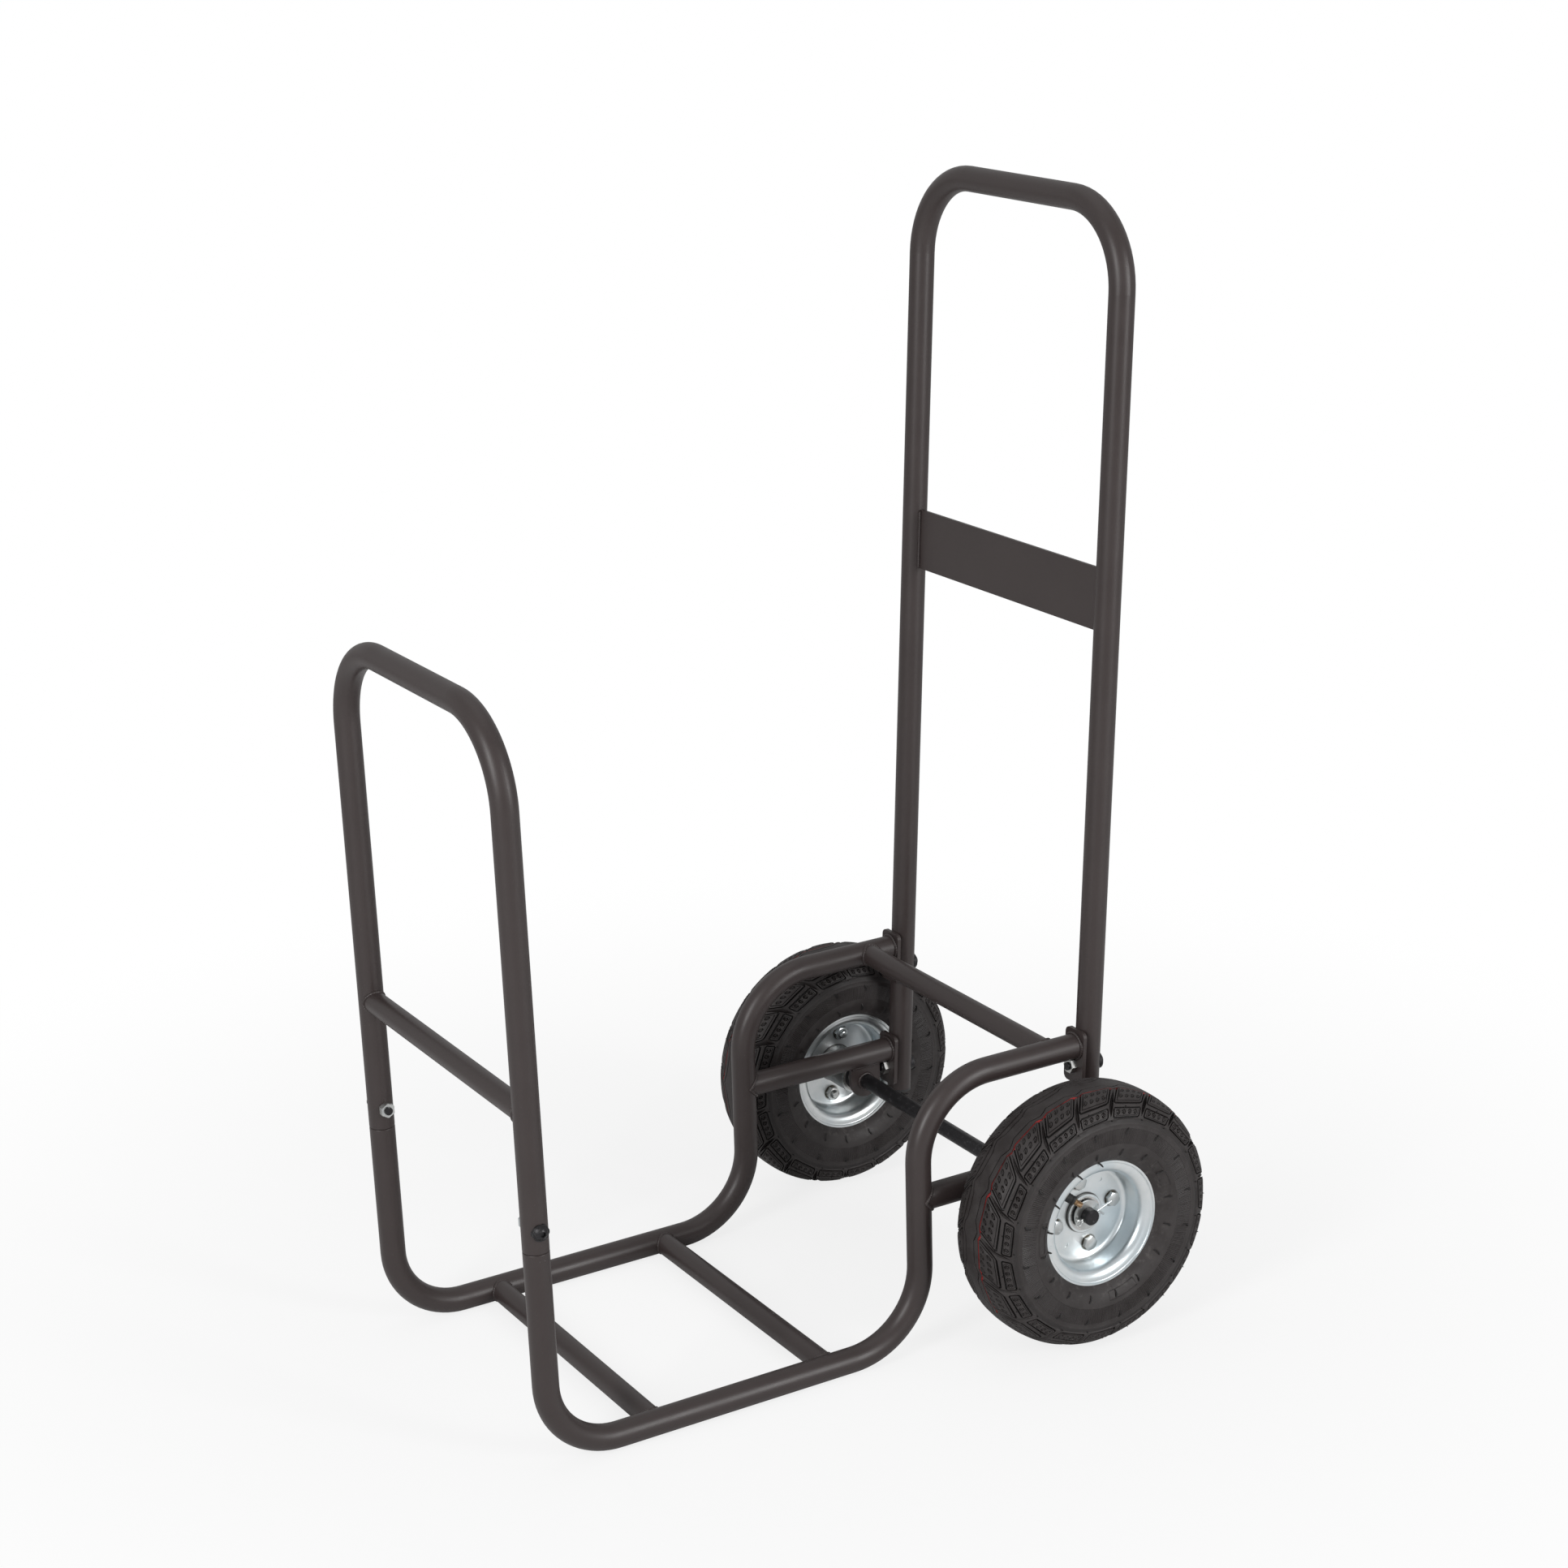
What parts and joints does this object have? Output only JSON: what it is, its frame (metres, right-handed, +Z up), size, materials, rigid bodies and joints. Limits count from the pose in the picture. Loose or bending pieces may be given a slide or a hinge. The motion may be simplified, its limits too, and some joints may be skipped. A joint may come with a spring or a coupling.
{
  "type": "fireside log cart",
  "caption": "Fireside log cart: black bent-tube frame with a front hoop, a tall leaning push handle and an open bed for split logs, on pneumatic wheels.",
  "frame": {"origin": "on the floor, under the middle of the cart's length and width", "axes": "+X along the axle towards the right wheel, +Y from the front hoop to the handle, +Z up"},
  "size_m": [0.538, 0.7104, 1.1011],
  "materials": {
    "black_powder_coat": "satin powder coat",
    "zinc_plate": "zinc plated",
    "zinc_rim": "bright zinc plated pressed steel",
    "black_oxide": "black oxide",
    "black_plastic": "matte",
    "tyre_rubber": "moulded rubber",
    "tube_rubber": "matte rubber",
    "bearing_steel": "ground steel with a dark seal",
    "valve_brass": "plain brass"
  },
  "bodies": {
    "frame": {"front_hoop": "black_powder_coat", "front_crossbar": "black_powder_coat", "handle_hoop": "black_powder_coat", "handle_plate": "black_powder_coat", "left_side_rail": "black_powder_coat", "right_side_rail": "black_powder_coat", "left_lower_brace": "black_powder_coat", "right_lower_brace": "black_powder_coat", "base_front_crossbar": "black_powder_coat", "base_rear_crossbar": "black_powder_coat", "shelf_crossbar": "black_powder_coat", "left_upper_flange": "black_powder_coat", "right_upper_flange": "black_powder_coat", "left_lower_flange": "black_powder_coat", "right_lower_flange": "black_powder_coat", "left_axle_bracket": "black_powder_coat", "right_axle_bracket": "black_powder_coat", "hoop_spigots": "zinc_plate", "hoop_nuts": "zinc_plate", "handle_nuts": "zinc_plate", "axle_spacers": "zinc_plate", "axle_washers": "zinc_plate", "cotter_pins": "zinc_plate", "hoop_bolts": "black_oxide", "hoop_washers": "black_oxide", "handle_bolts": "black_oxide", "handle_washers": "black_oxide", "axle": "black_oxide", "handle_end_plugs": "black_plastic"},
    "left_wheel": {"left_tyre": "tyre_rubber", "left_inner_tube": "tube_rubber", "left_outer_rim": "zinc_rim", "left_inner_rim": "zinc_rim", "left_hub": "zinc_rim", "left_bearings": "bearing_steel", "left_rim_bolts": "zinc_plate", "left_rim_nuts": "zinc_plate", "left_valve_stem": "tube_rubber", "left_valve_tip": "valve_brass"},
    "right_wheel": {"right_tyre": "tyre_rubber", "right_inner_tube": "tube_rubber", "right_outer_rim": "zinc_rim", "right_inner_rim": "zinc_rim", "right_hub": "zinc_rim", "right_bearings": "bearing_steel", "right_rim_bolts": "zinc_plate", "right_rim_nuts": "zinc_plate", "right_valve_stem": "tube_rubber", "right_valve_tip": "valve_brass"}
  },
  "joints": [
    {"name": "left_wheel_spin", "type": "hinge", "parent": "frame", "child": "left_wheel", "pos_m": [-0.2265, 0.22325, 0.132], "axis": [1, 0, 0], "continuous": true},
    {"name": "right_wheel_spin", "type": "hinge", "parent": "frame", "child": "right_wheel", "pos_m": [0.2265, 0.22325, 0.132], "axis": [1, 0, 0], "continuous": true}
  ]
}
